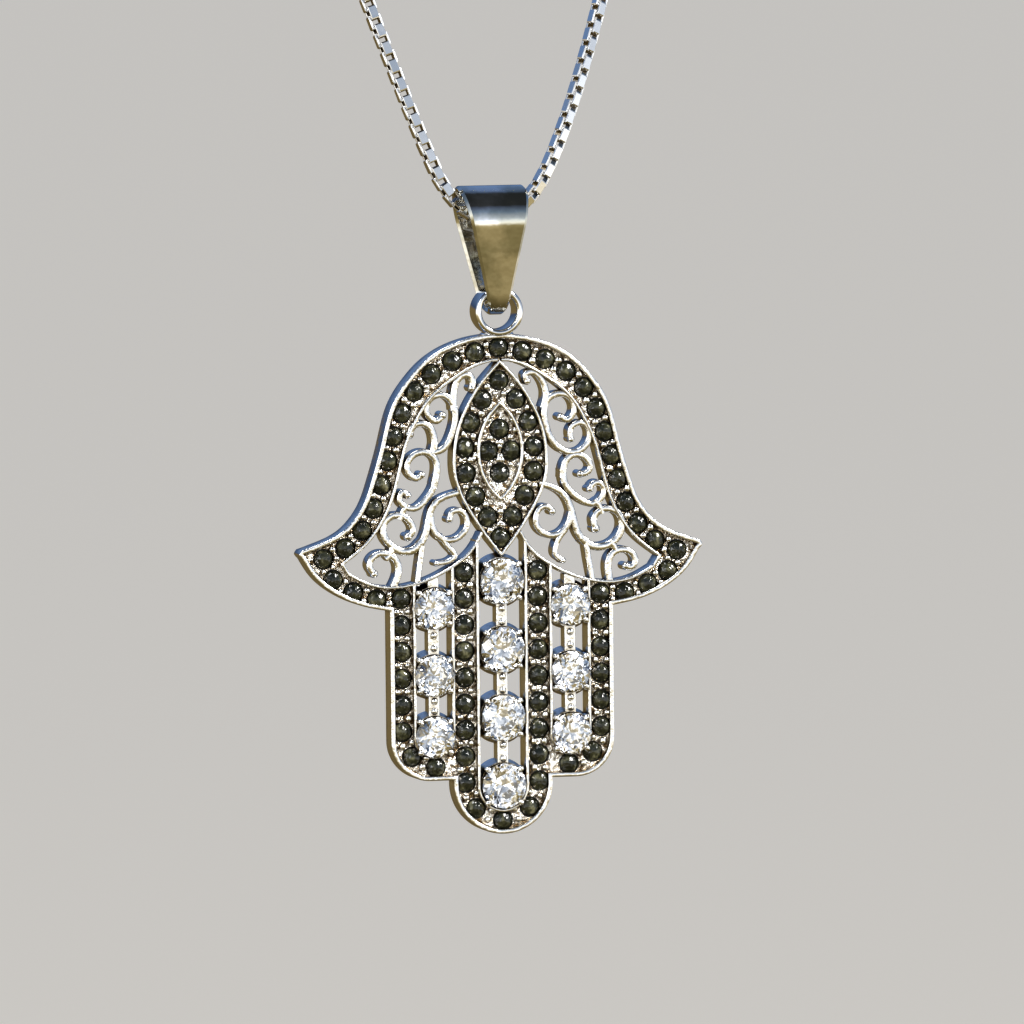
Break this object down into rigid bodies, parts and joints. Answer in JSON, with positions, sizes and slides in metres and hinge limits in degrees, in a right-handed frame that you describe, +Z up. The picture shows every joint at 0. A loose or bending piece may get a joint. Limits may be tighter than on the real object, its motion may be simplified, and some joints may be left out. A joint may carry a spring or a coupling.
{
  "type": "hamsa pendant on a box chain",
  "caption": "Openwork silver hand pendant with an eye, scrolls, dark and clear stones, hung by a ring and folded bail on a closed box chain.",
  "frame": {"origin": "middle of the clasp at the nape of the closed chain", "axes": "+Z up, -Y the way the hand's face looks, +X to the viewer's right"},
  "size_m": [0.0994, 0.1195, 0.2048],
  "materials": {
    "cast_silver": "cast silver, bright rims, pitted channel floors, dark recesses",
    "polished_silver": "mirror polished silver",
    "chain_silver": "polished silver box links",
    "clear_stone": "clear brilliant-cut stone",
    "dark_stone": "near-black olive faceted stone"
  },
  "bodies": {
    "necklace": {"chain": "chain_silver", "clasp": "chain_silver"},
    "bail": {"bail": "polished_silver"},
    "hand": {"frame": "cast_silver", "clear_stone_middle_1": "clear_stone", "clear_stone_middle_2": "clear_stone", "clear_stone_middle_3": "clear_stone", "clear_stone_middle_4": "clear_stone", "clear_stone_left_1": "clear_stone", "clear_stone_left_2": "clear_stone", "clear_stone_left_3": "clear_stone", "clear_stone_right_1": "clear_stone", "clear_stone_right_2": "clear_stone", "clear_stone_right_3": "clear_stone", "border_stones": "dark_stone", "eye_ring_stones": "dark_stone", "eye_centre_stones": "dark_stone", "finger_stones_left": "dark_stone", "finger_stones_middle": "dark_stone", "finger_stones_right": "dark_stone"}
  },
  "joints": [
    {"name": "bail_swing", "type": "hinge", "parent": "necklace", "child": "bail", "pos_m": [0, -0.116, -0.16435], "axis": [1, 0, 0], "range_deg": [-80, 80]},
    {"name": "pendant_swing", "type": "hinge", "parent": "bail", "child": "hand", "pos_m": [0, -0.116, -0.16957], "axis": [1, 0, 0], "range_deg": [-60, 60]}
  ]
}
